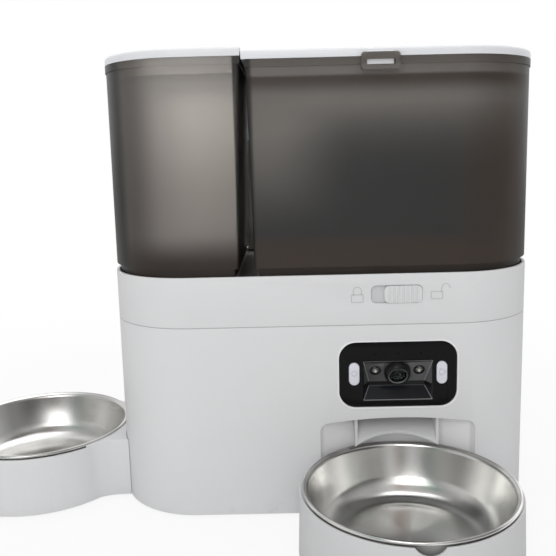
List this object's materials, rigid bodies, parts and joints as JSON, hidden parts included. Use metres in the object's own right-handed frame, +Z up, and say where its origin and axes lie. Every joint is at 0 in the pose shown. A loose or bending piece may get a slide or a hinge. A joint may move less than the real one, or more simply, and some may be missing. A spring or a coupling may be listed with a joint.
{
  "type": "automatic pet feeder",
  "caption": "Camera pet feeder: white body with rotor dispenser and sloped spout, smoke brown food and water tanks on top, steel bowls in front and side holders.",
  "frame": {"origin": "on the floor, under the middle of the whole object's box", "axes": "+X to the feeder's right seen from the front, +Y to its back, +Z up; the camera panel looks along -Y"},
  "size_m": [0.4716, 0.289, 0.3405],
  "materials": {
    "white_shell": "satin moulded plastic",
    "lid_white": "satin moulded plastic",
    "smoke_tank": "frosted translucent smoke brown",
    "panel_black": "gloss black",
    "black_plastic": "matt black",
    "lens_glass": "coated glass",
    "led_clear": "clear resin",
    "button_white": "satin lavender white",
    "bowl_steel": "satin stainless steel",
    "screw_steel": "bright zinc",
    "foot_rubber": "matt rubber",
    "seal_silicone": "translucent silicone",
    "rotor_plastic": "satin moulded plastic",
    "gear_plastic": "natural acetal",
    "motor_steel": "plated steel",
    "board_green": "solder mask",
    "valve_grey": "satin moulded plastic",
    "tube_clear": "clear silicone tube"
  },
  "bodies": {
    "base": {"base_shell": "white_shell", "top_deck": "white_shell", "base_plate": "white_shell", "feet": "foot_rubber", "base_screws": "screw_steel", "deck_screws": "screw_steel", "chute": "white_shell", "gear_case": "white_shell", "gear_motor": "motor_steel", "camera_bezel": "panel_black", "camera_barrel": "black_plastic", "camera_lens": "lens_glass", "ir_leds": "led_clear", "camera_board": "board_green", "main_board": "board_green", "power_inlet": "black_plastic", "inlet_tube": "tube_clear", "water_pump": "black_plastic", "outlet_tube": "tube_clear", "water_nozzle": "white_shell"},
    "rotor": {"rotor": "rotor_plastic", "rotor_shaft": "screw_steel", "driven_gear": "gear_plastic"},
    "pinion": {"pinion": "screw_steel", "motor_shaft": "screw_steel"},
    "lock": {"lock_slider": "white_shell"},
    "left_button": {"button_left": "button_white"},
    "right_button": {"button_right": "button_white"},
    "food_tank": {"food_tank": "smoke_tank", "hinge_pins": "screw_steel"},
    "food_lid": {"food_lid": "lid_white", "food_lid_seal": "seal_silicone"},
    "water_tank": {"water_tank": "smoke_tank", "valve_cap": "valve_grey", "valve_spring": "screw_steel"},
    "valve": {"valve_plunger": "valve_grey"},
    "water_lid": {"water_lid": "lid_white", "water_lid_seal": "seal_silicone"},
    "front_holder": {"front_holder": "white_shell", "front_holder_feet": "foot_rubber"},
    "front_bowl": {"front_bowl": "bowl_steel"},
    "side_holder": {"side_holder": "white_shell", "side_holder_feet": "foot_rubber"},
    "side_bowl": {"side_bowl": "bowl_steel"}
  },
  "joints": [
    {"name": "rotor_turn", "type": "hinge", "parent": "base", "child": "rotor", "pos_m": [0.1288, 0.0715, 0.15], "axis": [0, 0, 1], "continuous": true},
    {"name": "pinion_turn", "type": "hinge", "parent": "base", "child": "pinion", "pos_m": [0.14888, 0.10017, 0.135], "axis": [0, 0, 1], "continuous": true},
    {"name": "lock_slide", "type": "slide", "parent": "base", "child": "lock", "axis": [-1, 0, 0], "range_m": [0, 0.0091]},
    {"name": "left_button_press", "type": "slide", "parent": "base", "child": "left_button", "axis": [0, 1, 0], "range_m": [0, 0.001], "stiffness_N_per_m": 500},
    {"name": "right_button_press", "type": "slide", "parent": "base", "child": "right_button", "axis": [0, 1, 0], "range_m": [0, 0.001], "stiffness_N_per_m": 500},
    {"name": "food_tank_lift", "type": "slide", "parent": "base", "child": "food_tank", "axis": [0, 0, 1], "range_m": [0, 0.06]},
    {"name": "food_lid_hinge", "type": "hinge", "parent": "food_tank", "child": "food_lid", "pos_m": [0.0758, 0.1413, 0.333], "axis": [-1, 0, 0], "range_deg": [0, 100]},
    {"name": "water_tank_lift", "type": "slide", "parent": "base", "child": "water_tank", "axis": [0, 0, 1], "range_m": [0, 0.06]},
    {"name": "valve_press", "type": "slide", "parent": "water_tank", "child": "valve", "axis": [0, 0, 1], "range_m": [0, 0.0015], "stiffness_N_per_m": 150, "springref_m": -0.004, "deforming": ["valve_spring"]},
    {"name": "water_lid_lift", "type": "slide", "parent": "water_tank", "child": "water_lid", "axis": [0, 0, 1], "range_m": [0, 0.05]},
    {"name": "front_holder_pull", "type": "slide", "parent": "base", "child": "front_holder", "axis": [0, -1, 0], "range_m": [0, 0.06]},
    {"name": "front_bowl_lift", "type": "slide", "parent": "front_holder", "child": "front_bowl", "axis": [0, 0, 1], "range_m": [0, 0.008]},
    {"name": "side_holder_pull", "type": "slide", "parent": "base", "child": "side_holder", "axis": [-1, 0, 0], "range_m": [0, 0.06]},
    {"name": "side_bowl_lift", "type": "slide", "parent": "side_holder", "child": "side_bowl", "axis": [0, 0, 1], "range_m": [0, 0.06]}
  ],
  "couplings": [
    {"joint": "pinion_turn", "follows": "rotor_turn", "ratio": -3}
  ]
}
